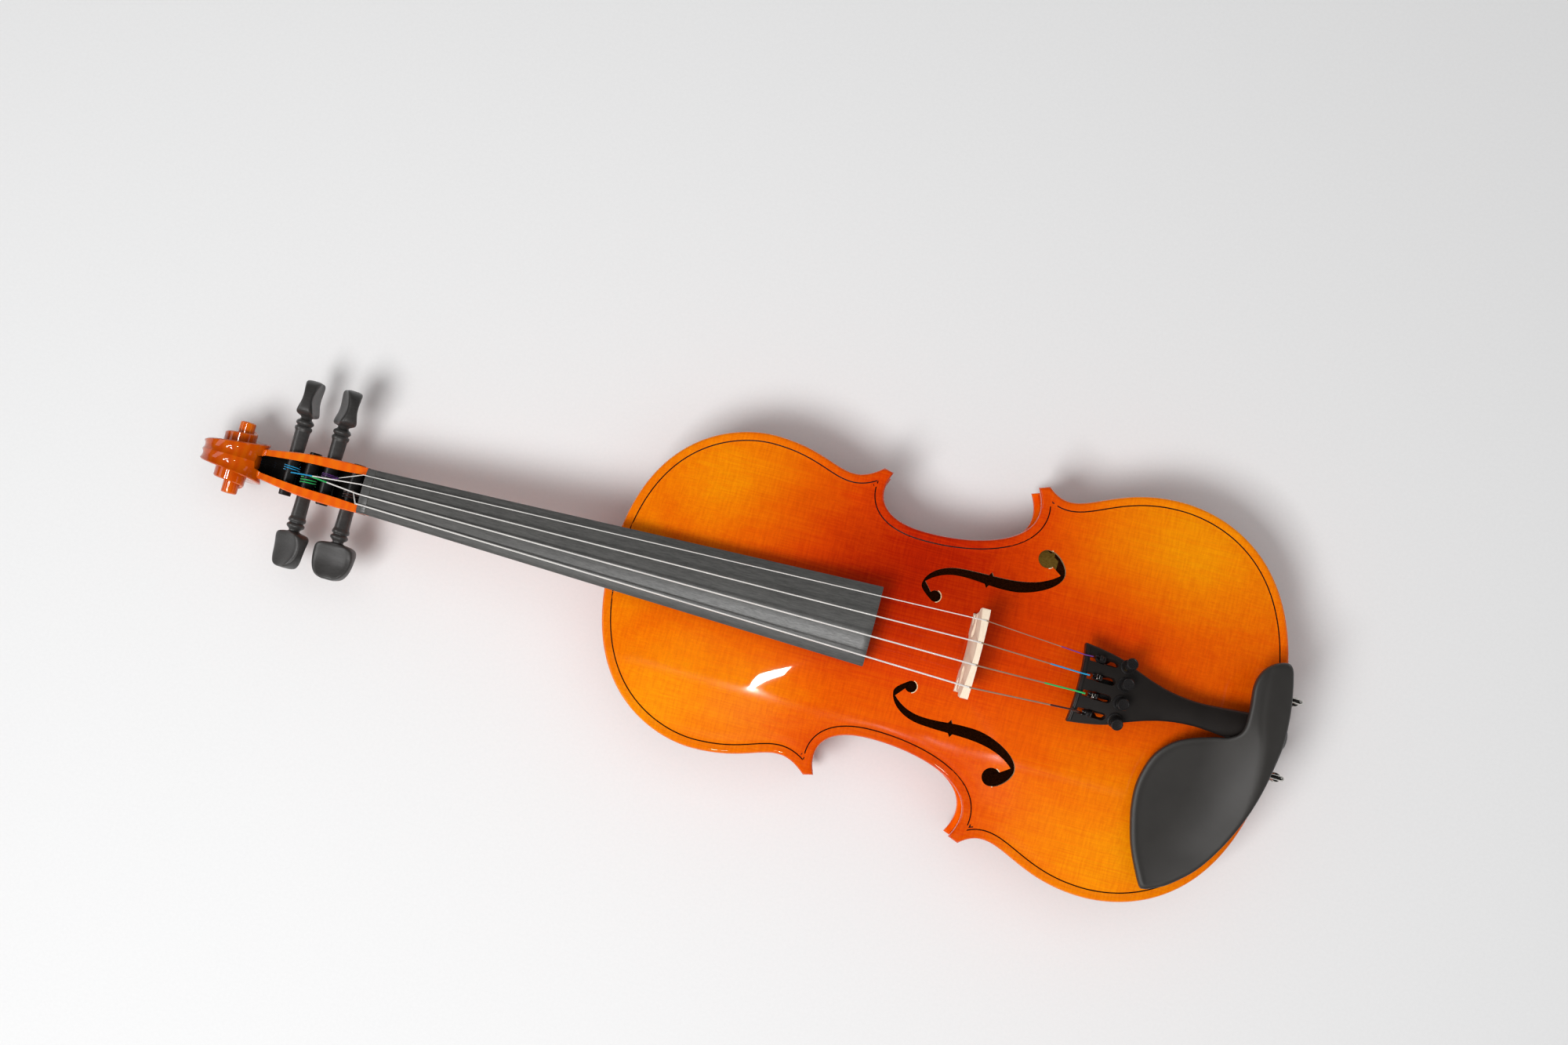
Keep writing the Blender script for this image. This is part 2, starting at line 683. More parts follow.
def make_bass_bar():
    rings = []
    for k in range(15):
        t = k / 14
        x = BAR_START_X + t * BAR_LENGTH
        y = BAR_Y - 2.0 * (x - BRIDGE_X) / 110
        ceiling = min(top_inside(x, y - 2.9), top_inside(x, y + 2.9)) - 0.75
        floor = ceiling - (2.5 + 8.5 * math.sin(math.pi * t) ** 1.4)
        rings.append([(x, y - 2.75, ceiling), (x, y + 2.75, ceiling),
                      (x, y + 2.2, floor), (x, y - 2.2, floor)])
    loft("bass_bar", rings, BARE_SPRUCE)


def make_sound_post():
    low = back_inside(POST_X, POST_Y) + 0.9
    high = top_inside(POST_X, POST_Y) - 1.1
    turned("sound_post", cylinder(3.1, high, low), (POST_X, POST_Y, 0), (0, 0, 1), 16,
           BARE_SPRUCE)


# ---- fingerboard and nut ----
BOARD_END_HALF = 20.7
BOARD_NUT_HALF = 11.9
BOARD_STATIONS = ((BOARD_END_X, 3.4), (280, 3.4), (340, 2.6), (351, 0), (BOARD_NUT_X, 0))
#                 x, depth of the hollow in the underside


def board_crown(x):
    return 49.6 + 0.1164 * (BOARD_NUT_X - x)


def board_under(x):
    return 42.5 + 0.094 * (BOARD_NUT_X - x)


NUT_TOP_Z = board_crown(BOARD_NUT_X) + 0.9


def make_fingerboard():
    rings = []
    for x, hollow in BOARD_STATIONS:
        nearness = (BOARD_NUT_X - x) / (BOARD_NUT_X - BOARD_END_X)
        half = BOARD_NUT_HALF + nearness * (BOARD_END_HALF - BOARD_NUT_HALF)
        across = np.linspace(-half, half, 11)
        crown = [(x, y, board_crown(x) - crown_drop(y)) for y in across]
        under = [(x, y, board_under(x) + hollow * (1 - (y / half) ** 2)) for y in across[::-2]]
        rings.append(crown + under)
    loft("fingerboard", rings, BLACK_WOOD)


def make_nut():
    low = board_under(BOARD_NUT_X)
    outline = [(y, NUT_TOP_Z - crown_drop(y))
               for y in np.linspace(-BOARD_NUT_HALF, BOARD_NUT_HALF, 9)]
    outline += [(BOARD_NUT_HALF, low), (-BOARD_NUT_HALF, low)]
    flat_piece("nut", outline, BOARD_NUT_X + GAP, BOARD_NUT_X + NUT_LENGTH, "YZ", BLACK_WOOD)


# ---- neck, pegbox and scroll ----
# x, half width, lowest z, roundness exponent, lean towards the scroll with depth
NECK_STATIONS = (
    (349.2, 16.3, 15.4, 0.22, 0.0),
    (354.0, 16.1, 15.4, 0.28, 0.0),
    (359.0, 15.9, 17.5, 0.42, 0.06),
    (363.0, 15.8, 22.0, 0.55, 0.06),
    (368.0, 15.6, 30.0, 0.7, 0.04),
    (375.0, 15.4, 36.5, 0.85, 0.0),
    (386.0, 15.0, 38.2, 0.95, 0.0),
    (430.0, 13.6, 36.3, 0.98, 0.0),
    (474.0, 12.2, 32.5, 0.95, 0.0),
    (484.0, 12.0, 29.0, 0.8, 0.0),
    (493.5, 12.0, 23.5, 0.5, 0.0),
)
HEEL_STATIONS = 5         # the first stations also narrow from the belly to the button
NECK_RING_STEPS = 10

PEGBOX_START_X = BOARD_NUT_X + NUT_LENGTH
PEGBOX_END_X = 546.0      # scroll end of the straight cheek edges
PEGBOX_BACK = (           # x, z of the side facing -Z
    (486, 30), (494, 22.8), (502, 20.2), (512, 18.6), (524, 17.2), (536, 15.4), (548, 12.2),
    (556, 9.8), (564, 8.4),
)
PEGBOX_PLAN = (           # x, half width
    (487, 12.1), (506, 12.3), (519, 11.8), (530, 11.0), (540, 9.6), (548, 8.4), (558, 7.0),
    (567, 6.4),
)
HOLLOW_PLAN = ((493.5, 7.8), (506, 6.9), (519, 6.6), (530, 6.1), (540, 5.2), (545, 4.4))
HOLLOW_SIDE = (           # x, z
    (490, 26.5), (502, 25.5), (524, 22.8), (541, 20.5), (550, 26), (550, 60), (490, 60),
)

SCROLL_EYE = (564.3, 29.0)        # x, z of the volute's eye
SCROLL_START_R = 19.8             # outer radius at turn 0
SCROLL_EYE_R = 4.2
SCROLL_FIRST, SCROLL_LAST = -96, 720      # degrees from +X towards +Z
SCROLL_STEP = 24
SCROLL_HALF_WIDTH = (             # degrees of turn, half width
    (-96, 8.2), (0, 4.8), (90, 6.6), (180, 9.4), (360, 11.6), (540, 16.0), (720, 19.7),
)


def neck_ring(x, half, z_low, power, lean):
    """A flat-topped section with a rounded underside."""
    high = board_under(x) - GAP
    ring = []
    for k in range(NECK_RING_STEPS + 1):
        angle = math.pi * k / NECK_RING_STEPS
        y = half * math.copysign(abs(math.cos(angle)) ** power, math.cos(angle))
        depth = (high - z_low) * abs(math.sin(angle)) ** power
        ring.append((x + lean * depth, y, high - depth))
    return ring


def make_neck_shaft():
    rings = [neck_ring(*station) for station in NECK_STATIONS]
    for k in range(HEEL_STATIONS):
        rings[k] = [(x, math.copysign(min(abs(y), heel_half(z)), y), z) for x, y, z in rings[k]]
    return loft("neck_and_scroll", rings, VARNISHED_MAPLE)


def pegbox_front(x):
    """Height of the pegbox cheeks' edges on the side facing +Z."""
    return 46.4 - (x - BOARD_NUT_X) * 0.19


def make_pegbox():
    """The solid pegbox: its side shape met by its plan."""
    start = PEGBOX_START_X + GAP
    outline = [(x, read_table(PEGBOX_BACK, x))
               for x in (488, 494, 502, 512, 524, 536, 548, 556, 561)]
    outline += [(563.5, 20), (558, 31), (552, 35.2)]
    outline += [(x, pegbox_front(x)) for x in (PEGBOX_END_X, 520, start - GAP)][:2]
    outline += [(start, pegbox_front(PEGBOX_START_X)), (start, 41), (488, 41)]
    pegbox = flat_piece("pegbox_side", outline, -20, 20, "XZ", helper=True)
    plan = flat_piece("pegbox_plan", closed_halves(PEGBOX_PLAN), 0, 60, helper=True)
    return bake(boolean(pegbox, plan, "INTERSECT"))


def make_pegbox_hollow():
    plan = flat_piece("pegbox_hollow_plan", closed_halves(HOLLOW_PLAN), 0, 60, helper=True)
    hollow = flat_piece("pegbox_hollow", HOLLOW_SIDE, -15, 15, "XZ", helper=True)
    return bake(boolean(hollow, plan, "INTERSECT"))


def scroll_radius(turn):
    """Outer radius of the volute at this turn."""
    left = max(1 - turn / SCROLL_LAST, 0)
    return SCROLL_EYE_R + (SCROLL_START_R - SCROLL_EYE_R) * left**1.3


def make_volute():
    """The scroll: on each side a spiral floor that steps out at every turn until the eye,
    and a rim round the first turn."""
    solid = bmesh.new()
    per_turn = 360 // SCROLL_STEP
    count = (SCROLL_LAST - SCROLL_FIRST) // SCROLL_STEP

    def half_width(turn):
        return read_table(SCROLL_HALF_WIDTH, turn)

    def point(turn, radius, y):
        angle = math.radians(turn)
        x = SCROLL_EYE[0] + radius * math.cos(angle)
        z = SCROLL_EYE[1] + radius * math.sin(angle)
        return solid.verts.new(to_world(x, y, z))

    edge, inner = {}, {}
    for side in (1, -1):
        for k in range(count + 1):
            turn = SCROLL_FIRST + k * SCROLL_STEP
            edge[k, side] = point(turn, scroll_radius(turn), side * half_width(turn))
        for k in range(count + 1, count + per_turn):
            turn = SCROLL_FIRST + k * SCROLL_STEP
            edge[k, side] = point(turn, SCROLL_EYE_R, side * half_width(SCROLL_LAST))
        edge[count + per_turn, side] = edge[count, side]
        for k in range(count):
            turn = SCROLL_FIRST + k * SCROLL_STEP
            inner[k, side] = point(turn, scroll_radius(turn + 360), side * half_width(turn))
        inner[count, side] = edge[count, side]
        for k in range(count):
            floor = [edge[k, side], edge[k + 1, side], inner[k + 1, side], inner[k, side]]
            wall = [inner[k, side], inner[k + 1, side],
                    edge[k + 1 + per_turn, side], edge[k + per_turn, side]]
            # the last floor and wall close to triangles
            if k + 1 == count:
                floor.pop(2)
                wall.pop(2)
            solid.faces.new(floor)
            solid.faces.new(wall)
        solid.faces.new([edge[k, side] for k in range(count, count + per_turn)])
    for k in range(per_turn - 1):
        solid.faces.new([edge[k, 1], edge[k + 1, 1], edge[k + 1, -1], edge[k, -1]])
    k = per_turn - 1
    solid.faces.new([edge[k, 1], edge[k + 1, 1], inner[0, 1],
                     inner[0, -1], edge[k + 1, -1], edge[k, -1]])
    solid.faces.new([edge[0, 1], inner[0, 1], inner[0, -1], edge[0, -1]])
    return mesh_object("volute", solid, helper=True)


def make_neck():
    neck = make_neck_shaft()
    boolean(neck, make_pegbox(), "UNION")
    boolean(neck, make_volute(), "UNION")
    boolean(neck, make_pegbox_hollow())
    high, low = (shaft_radius(height) + PEG_HOLE_PLAY for height in (16, -16))
    profile = [(0, 16), (high, 16), (low, -16), (0, -16)]
    for key in STRING_ORDER:
        axis = (0, PEG_SIDE[key], 0)
        hole = turned("peg_hole_" + key, profile, PEG_CENTRE[key], axis, 24, helper=True)
        boolean(neck, hole)
    bake(neck)


# ---- pegs ----
PEG_REST_DEG = {"a": 88.0, "e": 62.0, "d": 40.0, "g": 12.0}      # turn of the head at rest
SHAFT_END, SHAFT_SHOULDER = -12.9, 24.0   # heights of the shaft's ends, towards the head
SHAFT_TIP_R, SHAFT_WIDE_R = 3.25, 4.05
PEG_HOLE_PLAY = 0.13
PEG_PROFILE = (           # radius, height: collar and shaft
    (0, 36.5), (2.6, 36.2), (3.0, 32.4), (4.4, 31.8), (4.4, 30.4), (3.6, 29.6), (5.0, 28.8),
    (5.0, 26.6), (4.1, 25.6), (4.05, SHAFT_SHOULDER), (SHAFT_TIP_R, SHAFT_END), (0, SHAFT_END),
)
PEG_HEAD = (              # half width, height of the flat head
    (3.3, 32.6), (5.4, 34.2), (8.6, 36.6), (10.7, 40.0), (11.3, 43.4), (10.6, 46.6),
    (8.2, 49.0), (4.2, 50.1),
)
HEAD_HALF_THICKNESS = 2.6     # before the bevel
HEAD_BEVEL = 1.2


def shaft_radius(height):
    widening = (SHAFT_WIDE_R - SHAFT_TIP_R) * (height - SHAFT_END)
    return SHAFT_TIP_R + widening / (SHAFT_SHOULDER - SHAFT_END)


def make_peg(key):
    name, side, centre = "peg_" + key, PEG_SIDE[key], PEG_CENTRE[key]
    peg = turned(name, PEG_PROFILE, centre, (0, side, 0), 16, PEG_WOOD)
    half = np.array(PEG_HEAD)
    turn = Matrix.Rotation(math.radians(PEG_REST_DEG[key]), 4, "Y")
    stand = Matrix.Diagonal((1, side, 1, 1))
    guide = outline_guide(name + "_head", np.vstack([half, half[::-1] * [-1, 1]]),
                          HEAD_HALF_THICKNESS,
                          Matrix.Translation(to_world(*centre)) @ turn @ stand)
    guide.data.bevel_depth = HEAD_BEVEL * MILLIMETRE
    guide.data.bevel_resolution = 0
    guide.data.offset = -HEAD_BEVEL * MILLIMETRE
    boolean(peg, as_mesh(guide, name + "_head_solid", helper=True), "UNION")
    bake(peg)
    set_origin(peg, centre)
    smooth(peg, 35)


# ---- tailpiece ----
TAIL_X = 109.5            # wide end of the tailpiece
TAIL_Z = 79.0             # height of its crown there
TAIL_SLOPE_DEG = 7.6
TAIL_LENGTH = 102.0
TAIL_CROWN_R = 42.0
TAIL_STATIONS = (0, 3, 10, 20, 31, 40, 51, 62, 74, 88, 96, TAIL_LENGTH)
TAIL_SOLID_FROM = 33      # stations beyond this have a full underside instead of a thin shell
TAIL_LIP = 1.6            # thickness at the edges of the full part
# Distance from the wide end, and the value there
TAIL_HALF = ((0, 20.2), (10, 19.3), (20, 17.2), (29, 13.1), (40, 9.3), (51, 7.0), (62, 6.2),
             (71, 6.6), (88, 8.0), (96, 8.8), (102, 7.6))
TAIL_THICKNESS = ((0, 4.2), (31, 4.2), (44, 6.4), (60, 7.2), (90, 6.4), (102, 5.0))
TAIL_RADIUS = ((24, TAIL_CROWN_R), (45, 14), (60, 9.5), (102, 11))

# Fine tuners; "along" positions run from the wide end towards the scroll
TUNER_ACROSS = {"e": -13.6, "a": -4.5, "d": 4.5, "g": 13.6}
SLOT_ALONG = (-18.0, -2.6)
SLOT_HALF = 1.75
PIVOT_ALONG, PIVOT_OUT = -12.6, -8.2
SCREW_ALONG = -22.8
LEVER_HALF = 1.2
PIN_BORE = cylinder(0.95, 4.5, -4.5)
LEVER_OUTLINE = (         # along, out, from the pivot
    (-12.6, 0.9), (-12.6, -0.7), (-2.0, -1.8), (1.4, -1.8), (3.4, 0.2), (5.4, 6.0), (7.6, 9.2),
    (7.9, 10.2), (6.6, 10.6), (5.4, 9.4), (3.6, 9.2), (3.2, 10.4), (2.2, 10.2), (2.2, 7.4),
    (0.8, 3.0), (-1.6, 1.5),
)
KNOB_PROFILE = ((0, 7.0), (2.1, 7.0), (2.6, 6.5), (2.6, 3.3), (2.1, 2.8), (0, 2.8))


def tail_frame(along, y, out):
    """A point given along the tailpiece from its wide end, across, and out from its crown."""
    slope = math.radians(TAIL_SLOPE_DEG)
    return (TAIL_X + along * math.cos(slope) - out * math.sin(slope), y,
            TAIL_Z + along * math.sin(slope) + out * math.cos(slope))


def tuner_point(key, along, out):
    """A point on one tuner's centre plane, out from the crowned surface."""
    angle = math.asin(TUNER_ACROSS[key] / TAIL_CROWN_R)
    radius = TAIL_CROWN_R + out
    return tail_frame(along, radius * math.sin(angle), radius * math.cos(angle) - TAIL_CROWN_R)


def tuner_matrix(key, along, out=0.0):
    """Local frame of a tuner: X along the tailpiece, Y across, Z out of its surface."""
    origin = to_world(*tuner_point(key, along, out))
    x_axis = (to_world(*tuner_point(key, along + 10, out)) - origin).normalized()
    z_axis = (to_world(*tuner_point(key, along, out + 10)) - origin).normalized()
    matrix = Matrix((x_axis, z_axis.cross(x_axis), z_axis)).transposed().to_4x4()
    matrix.translation = origin
    return matrix


def tuner_box(name, key, low, high):
    matrix = tuner_matrix(key, 0)

    def frame(x, y, z):
        return matrix @ Vector((x * MILLIMETRE, y * MILLIMETRE, z * MILLIMETRE))

    return box(name, low, high, frame)


def tuner_turned(name, matrix, profile, steps, finish=None, helper=False, axis="Z"):
    """A turned piece about the local Z or Y axis of a tuner's frame."""
    obj = turned(name, profile, (0, 0, 0), (0, 0, 1), steps, finish, helper)
    turn = Matrix.Identity(4) if axis == "Z" else Matrix.Rotation(-math.pi / 2, 4, "X")
    obj.matrix_world = matrix @ turn
    return obj


def tail_ring(distance):
    half = read_table(TAIL_HALF, distance)
    thickness = read_table(TAIL_THICKNESS, distance)
    radius = read_table(TAIL_RADIUS, distance)
    across = np.linspace(-half, half, 9)
    ring = [tail_frame(-distance, y, -crown_drop(y, radius)) for y in across]
    edge = crown_drop(half, radius)
    for y in across[::-2]:
        if distance > TAIL_SOLID_FROM:
            out = -edge - TAIL_LIP - (thickness - TAIL_LIP) * (1 - (y / half) ** 2)
        else:
            out = -crown_drop(y, radius) - thickness
        ring.append(tail_frame(-distance, y * 0.94, out))
    return ring


def make_tailpiece():
    tailpiece = loft("tailpiece", [tail_ring(d) for d in TAIL_STATIONS], COMPOSITE)
    for key in STRING_ORDER:
        slot = tuner_box("slot_" + key, key, (SLOT_ALONG[0], -SLOT_HALF, -14),
                         (SLOT_ALONG[1], SLOT_HALF, 6))
        boolean(tailpiece, slot)
        hole = tuner_turned("screw_hole_" + key, tuner_matrix(key, SCREW_ALONG),
                            cylinder(1.45, 6, -14), 12, helper=True)
        boolean(tailpiece, hole)
    # lugs on both sides of each slot carry the lever's pin
    for key in STRING_ORDER:
        for n, side in enumerate((1, -1)):
            low, high = sorted((side * (SLOT_HALF + 0.05), side * (SLOT_HALF + 1.25)))
            lug = tuner_box(f"lug_{key}_{n}", key, (PIVOT_ALONG - 1.9, low, PIVOT_OUT - 1.6),
                            (PIVOT_ALONG + 1.9, high, -2.2))
            boolean(tailpiece, lug, "UNION")
    for key in STRING_ORDER:
        hole = tuner_turned("pin_hole_" + key, tuner_matrix(key, PIVOT_ALONG, PIVOT_OUT),
                            PIN_BORE, 12, helper=True, axis="Y")
        boolean(tailpiece, hole)
    bake(tailpiece)


def make_lever(key, pivot):
    """Tuner lever: a rear arm under the screw, and an arm through the slot with a hook."""
    name = "tuner_lever_" + key
    guide = outline_guide("lever_guide_" + key, LEVER_OUTLINE, LEVER_HALF,
                          pivot @ Matrix.Rotation(math.pi / 2, 4, "X"))
    lever = as_mesh(guide, name, BLACK_METAL)
    bore = tuner_turned("lever_bore_" + key, pivot, PIN_BORE, 12, helper=True, axis="Y")
    bake(boolean(lever, bore))
    set_origin(lever, tuner_point(key, PIVOT_ALONG, PIVOT_OUT))


def make_tuner(key):
    pivot = tuner_matrix(key, PIVOT_ALONG, PIVOT_OUT)
    make_lever(key, pivot)
    tuner_turned("tuner_pin_" + key, pivot, cylinder(0.8, 3.0, -3.0), 12, BLACK_METAL, axis="Y")
    above = tuner_matrix(key, SCREW_ALONG)
    tip = PIVOT_OUT + 1.03 + 0.22     # the lever's top face under the screw, and a gap
    screw = [(0, 2.6), (1.25, 2.6), (1.25, tip + 0.5), (0.8, tip), (0, tip)]
    tuner_turned("tuner_screw_" + key, above, screw, 12, BLACK_METAL)
    tuner_turned("tuner_knob_" + key, above, KNOB_PROFILE, 16, BLACK_METAL)


# ---- strings ----
NUT_SPACING = 5.2
BRIDGE_SPACING = 11.3
COIL_Y = {"e": -4.2, "a": -2.6, "d": 2.6, "g": 4.2}
COIL_TURNS = 3.5
COIL_STEPS = 28
COIL_START_DEG = 30


def make_string(i, key):
    """One string from its peg over nut and bridge to its tuner, and its end wound on the peg."""
    radius, side = STRING_R[key], PEG_SIDE[key]
    peg_x, _, peg_z = PEG_CENTRE[key]
    y_nut = (i - 1.5) * NUT_SPACING
    y_bridge = (i - 1.5) * BRIDGE_SPACING
    z_nut = NUT_TOP_Z - crown_drop(y_nut) + radius + 0.12
    z_bridge = BRIDGE_TOP_Z - crown_drop(y_bridge) + radius + 0.15
    coil_radius = shaft_radius(COIL_Y[key] * side + 4) + radius + 0.25
    start_y = COIL_Y[key] - side * 2.9
    path = [
        (peg_x - 1.4, start_y, peg_z + coil_radius + 0.15),
        (BOARD_NUT_X + NUT_LENGTH + 0.4, y_nut, z_nut - 0.25),
        (BOARD_NUT_X + NUT_LENGTH - 1.5, y_nut, z_nut),
        (BRIDGE_X + 1.6, y_bridge, z_bridge - 0.05),
        (BRIDGE_X - 1.6, y_bridge, z_bridge - 0.15),
        tuner_point(key, 1.0, 1.1 + radius),
        tuner_point(key, -0.6, 1.1 + radius),
        tuner_point(key, -3.4, 1.5 + radius),
    ]
    tube("string_" + key, path, radius, STEEL, resolution=1)
    pitch = 2 * radius * 1.45
    coil = []
    for k in range(COIL_STEPS + 1):
        turns = COIL_TURNS * k / COIL_STEPS
        angle = 2 * math.pi * turns + math.radians(COIL_START_DEG)
        y = start_y + side * (2 * radius + 0.2 + pitch * turns)
        coil.append((peg_x + coil_radius * math.sin(angle), y,
                     peg_z + coil_radius * math.cos(angle)))
    tube("string_end_" + key, coil, radius, SILK[key], resolution=0)


# ---- bridge ----
FOOT_OUTER, FOOT_INNER = 20.5, 9.5        # y of the feet's ends
FOOT_GAP = 0.25
# y, height above the belly at the feet's inner ends
FOOT_ARCH = ((-FOOT_INNER, 2.4), (-5.5, 6.0), (0, 7.2), (5.5, 6.0), (FOOT_INNER, 2.4))
BRIDGE_FLANK = ((20.0, 3.4), (16.2, 6.5), (15.0, 9.5))    # y, height above the foot's outer end
BRIDGE_SHOULDER = (18.4, 80.0)            # y, z
BRIDGE_TOP_HALF = 20.6
BRIDGE_TAPER = (          # x, z of the wedge that thins the bridge towards its top
    (BRIDGE_X - 2.5, 55), (BRIDGE_X + 2.2, 55), (BRIDGE_X + 0.7, 95), (BRIDGE_X - 0.9, 95),
)


def bridge_outline():
    inner_z = top_outside(BRIDGE_X, FOOT_INNER)
    foot_z = max(top_outside(BRIDGE_X, FOOT_OUTER) + FOOT_GAP, top_outside(BRIDGE_X, 15) - 0.8)
    bottom = [(-FOOT_OUTER, foot_z), (-FOOT_INNER, inner_z + FOOT_GAP)]
    bottom += [(y, inner_z + height) for y, height in FOOT_ARCH]
    bottom += [(FOOT_INNER, inner_z + FOOT_GAP), (FOOT_OUTER, foot_z)]
    flank = [(y, foot_z + height) for y, height in BRIDGE_FLANK]
    flank += [BRIDGE_SHOULDER, (BRIDGE_TOP_HALF, BRIDGE_TOP_Z - crown_drop(BRIDGE_TOP_HALF))]
    crown = [(y, BRIDGE_TOP_Z - crown_drop(y)) for y in np.linspace(16, -16, 9)]
    return bottom + flank + crown + [(-y, z) for y, z in flank[::-1]]


def make_bridge():
    bridge = flat_piece("bridge", bridge_outline(), BRIDGE_X - 3, BRIDGE_X + 3, "YZ",
                        BRIDGE_MAPLE)
    heart = [(5.0 * math.sin(angle), 79.5 + 4.2 * math.cos(angle))
             for angle in np.linspace(0, 2 * math.pi, 13)[:-1]]
    boolean(bridge, flat_piece("bridge_heart", heart, BRIDGE_X - 6, BRIDGE_X + 6, "YZ",
                               helper=True))
    wedge = flat_piece("bridge_taper", BRIDGE_TAPER, -30, 30, "XZ", helper=True)
    boolean(bridge, wedge, "INTERSECT")
    # the feet are fitted to the arching of the belly
    bed = sheet("bridge_bed", (BRIDGE_X - 12, BRIDGE_X + 12), (-30, 30), (2, 16),
                lambda x, y: top_outside(x, y) + 0.35, lambda x, y: 45.0, helper=True)
    boolean(bridge, bed)
    bake(bridge)


# ---- tail cord, saddle, end button ----
SADDLE_OUTLINE = (        # x, z
    (0.2, 45.3), (5.9, 45.3), (5.9, 50.5), (4.6, 54.0), (2.6, 55.6), (0.9, 55.2), (0.2, 53.0),
)
CORD_R = 1.05
CORD_LOOP_R = 5.75        # round the neck of the end button
CORD_LOOP_X = -0.35
END_BUTTON_PROFILE = (    # radius, height towards -X
    (0, 11.7), (3.2, 11.7), (5.8, 10.9), (6.9, 9.5), (6.9, 7.9), (5.8, 6.4), (4.4, 5.5),
    (4.2, 4.6), (4.2, 2.4), (6.2, 2.1), (6.2, 0.5), (3.85, 0.4), (3.15, -17.0), (0, -17.0),
)


def make_saddle():
    flat_piece("saddle", SADDLE_OUTLINE, -SADDLE_HALF, SADDLE_HALF, "XZ", BLACK_WOOD)


def make_tail_cord():
    x_end, _, z_end = tail_frame(-TAIL_LENGTH, 0, -3.4)
    strand = [
        (x_end - 1.6, 4.6, z_end - 0.2), (3.4, 4.6, 57.5), (1.2, 4.7, 56.9), (-0.9, 4.8, 55.0),
        (-1.5, 5.0, 50.0), (-0.9, 5.4, 42), (CORD_LOOP_X, 5.7, BUTTON_Z + 2),
    ]
    loop = [(CORD_LOOP_X, CORD_LOOP_R * math.cos(angle), BUTTON_Z + CORD_LOOP_R * math.sin(angle))
            for angle in np.linspace(0, -math.pi, 9)]
    other = [(x, -y, z) for x, y, z in strand[::-1]]
    tube("tail_cord", strand + loop + other, CORD_R, NYLON, resolution=1)


def make_end_button():
    turned("end_button", END_BUTTON_PROFILE, (3.0, 0, BUTTON_Z), (-1, 0, 0), 16, PEG_WOOD)


# ---- chinrest ----
CHIN_CREST_X = (          # y, x of the crest
    (-38, 17.0), (-24, 17.8), (-12, 17.2), (-3, 15.6), (6, 12.8), (16, 11.2), (28, 11.2),
    (43, 13.6), (57, 18.9), (70, 26.0), (84, 38.0), (94, 50.0),
)
CHIN_CREST_Z = (          # y, z of the crest
    (-38, 70.5), (-20, 74.5), (0, 76.0), (20, 75.0), (50, 74.0), (75, 71.5), (92, 68.0),
)
CHIN_BOWL = ((-38, 2.5), (-2, 3.5), (12, 7.5), (40, 10.0), (70, 8.0), (92, 3.0))  # y, depth
CHIN_BOWL_RUN = 24.0      # distance over which the bowl reaches its depth
CHIN_THICKNESS = 5.0
CHIN_OUTLINE = (          # x, y
    (22.9, -10), (23.4, -21.7), (20.9, -29.4), (15.5, -34.8), (9.2, -37.0), (6.0, -35.4),
    (4.6, -30.5), (2.9, -20.2), (1.9, -10.1), (1.8, 3.1), (3.5, 14.1), (6.7, 28.9),
    (11.6, 44.1), (18.9, 60.0), (28.3, 74.7), (39.4, 85.5), (46.2, 89.5), (51.0, 91.4),
    (53.4, 90.4), (57.7, 81.8), (61.9, 71.7), (64.6, 62.0), (66.4, 53.0), (66.9, 42.6),
    (65.1, 32.5), (61.3, 23.6), (54.5, 16.4), (46.0, 11.9), (36.2, 8.8), (28.0, 6.6),
    (23.4, 1.5),
)
# Legs down to the belly: x or y, and how fully the leg is there
LEG_ALONG_X = ((9.5, 1), (14.0, 0))
LEG_BASS_Y = ((16.5, 0), (18.0, 1), (36, 1), (40, 0))
LEG_TREBLE_Y = ((-36, 0), (-34, 1), (-18.0, 1), (-16.5, 0))
LEG_CLEARANCE = 2.6       # between the legs and the belly


def chin_top(x, y):
    crest_x = read_table(CHIN_CREST_X, y)
    crest_z = read_table(CHIN_CREST_Z, y)
    past = x - crest_x
    if past <= 0:
        return crest_z - 5.0 * (past / max(crest_x, 6)) ** 2
    t = min(past / CHIN_BOWL_RUN, 1.0)
    return crest_z - read_table(CHIN_BOWL, y) * (t * t * (3 - 2 * t))


def chin_bottom(x, y):
    free = chin_top(x, y) - CHIN_THICKNESS
    leg_y = max(read_table(LEG_BASS_Y, y), read_table(LEG_TREBLE_Y, y))
    leg = read_table(LEG_ALONG_X, x) * leg_y
    floor = top_outside(x, y) + LEG_CLEARANCE
    # the middle stays above a sloping plane
    middle = 67.4 + 0.13 * x if abs(y) < 10.5 and x < 26 else 0
    return max(free + (floor - free) * leg, floor, middle)


def make_chinrest():
    rest = sheet("chinrest", (-2, 70), (-40, 94), (14, 22), chin_top, chin_bottom, PEG_WOOD)
    boolean(rest, flat_piece("chinrest_shape", CHIN_OUTLINE, 40, 90, helper=True), "INTERSECT")
    for n, side in enumerate((1, -1)):
        y = side * CLAMP_Y
        boolean(rest, box(f"clamp_recess_{n}", (-6, y - 1.55, 57.4), (10.2, y + 1.55, 60.6)))
    bake(rest)


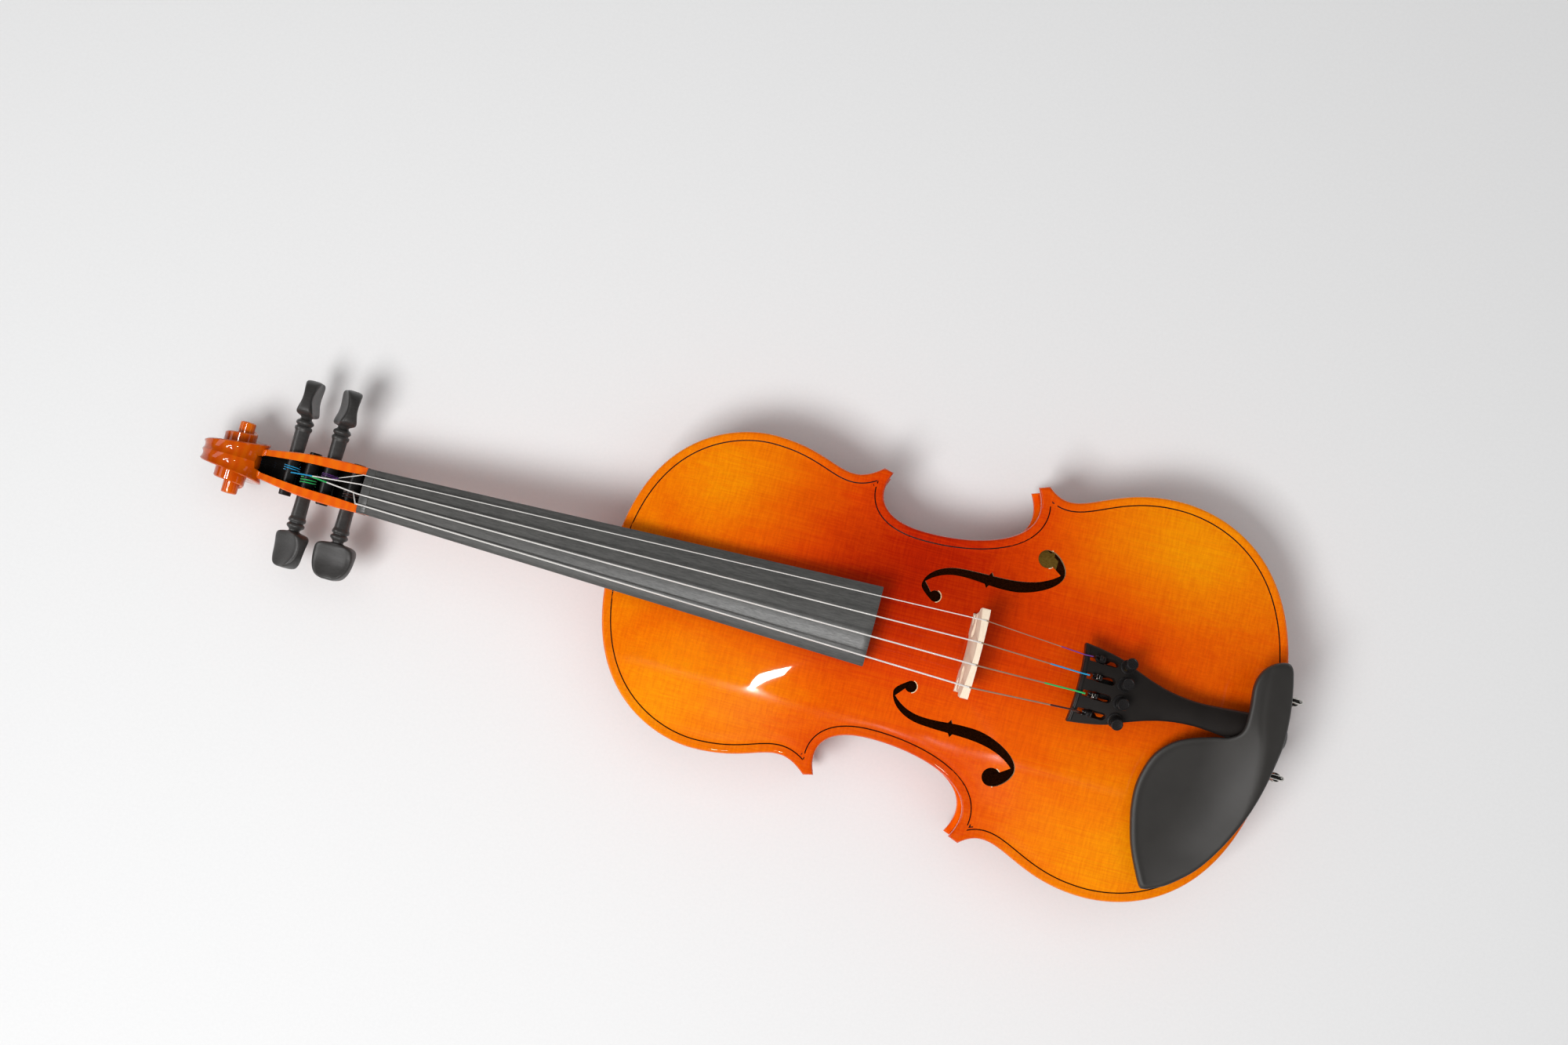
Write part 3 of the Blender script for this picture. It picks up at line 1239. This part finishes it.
# ---- chinrest clamp: two bent screws, two barrels, a foot under the back, cork pads ----
CLAMP_X = -3.6
CLAMP_Y = 20.0
ROD_R = 1.3
BARREL_BORE = 1.45
BARREL_R = 2.5
BARREL_PROFILE = (        # radius, z
    (BARREL_BORE, 46.0), (2.1, 46.0), (BARREL_R, 45.5), (BARREL_R, 20.5), (2.1, 20.0),
    (BARREL_BORE, 20.0), (BARREL_BORE, 46.0),
)
TOMMY_Z = 33.0            # cross hole through the barrel
FOOT_LOW, FOOT_HIGH = 5.0, 7.0
CLAMP_FOOT_PLAN = (       # x, y
    (-5.4, -22.5), (-5.4, 22.5), (-2.0, 24.5), (10.5, 24.0), (12.0, 21.0), (12.0, -21.0),
    (10.5, -24.0), (-2.0, -24.5),
)
BACK_PAD_PLAN = (
    (0.6, -22.8), (0.6, 22.8), (9.8, 23.0), (11.2, 20.6), (11.2, -20.6), (9.8, -23.0),
)
TOP_PAD_PLAN = (
    (2.6, 18.5), (9.6, 18.5), (10.8, 26.0), (10.8, 33.5), (6.0, 33.5), (3.4, 26.0),
)


def make_clamp_screw(y, word):
    path = [(9.6, y, 59.0), (-1.6, y, 59.0), (CLAMP_X + 0.4, y, 58.2), (CLAMP_X, y, 56.4),
            (CLAMP_X, y, 36.5)]
    tube("clamp_screw_" + word, path, ROD_R, NICKEL, resolution=2)


def make_clamp_barrel(y, word):
    barrel = turned("clamp_barrel_" + word, BARREL_PROFILE, (CLAMP_X, y, 0), (0, 0, 1), 16,
                    NICKEL)
    bake(barrel)      # welds the profile's seam before the hole is cut
    hole = turned("tommy_hole_" + word, cylinder(0.8, 5, -5), (CLAMP_X, y, TOMMY_Z), (0, 1, 0),
                  8, helper=True)
    bake(boolean(barrel, hole))
    set_origin(barrel, (CLAMP_X, y, TOMMY_Z))
    smooth(barrel, 35)


def make_clamp_foot():
    foot = flat_piece("clamp_foot", CLAMP_FOOT_PLAN, FOOT_LOW, FOOT_HIGH, finish=NICKEL)
    for n, side in enumerate((1, -1)):
        rod = turned(f"foot_screw_{n}", cylinder(ROD_R, 31.0, 5.6), (CLAMP_X, side * CLAMP_Y, 0),
                     (0, 0, 1), 12, helper=True)
        boolean(foot, rod, "UNION")
    bake(foot)


def make_cork_pads():
    flat_piece("cork_pad_back", BACK_PAD_PLAN, FOOT_HIGH + GAP, Z_BACK_EDGE - 0.9, finish=CORK)
    for side, word in SIDES:
        flat_piece("cork_pad_top_" + word, np.array(TOP_PAD_PLAN) * [1, side],
                   Z_TOP_EDGE + 0.75, Z_TOP_EDGE + 2.4, finish=CORK)


# ---- assembly ----
def make_body():
    heel_notch = make_heel_notch()
    button_hole = make_button_hole()
    make_top(heel_notch)
    make_back()
    make_ribs(heel_notch, button_hole)
    make_corner_blocks()
    make_centre_blocks(heel_notch, button_hole)
    make_bass_bar()
    make_sound_post()


def make_fittings():
    make_fingerboard()
    make_nut()
    make_neck()
    make_bridge()
    make_tailpiece()
    for i, key in enumerate(STRING_ORDER):
        make_peg(key)
        make_string(i, key)
        make_tuner(key)
    make_saddle()
    make_tail_cord()
    make_end_button()


def make_chinrest_and_clamp():
    make_chinrest()
    for side, word in SIDES:
        make_clamp_screw(side * CLAMP_Y, word)
        make_clamp_barrel(side * CLAMP_Y, word)
    make_clamp_foot()
    make_cork_pads()


make_body()
make_fittings()
make_chinrest_and_clamp()
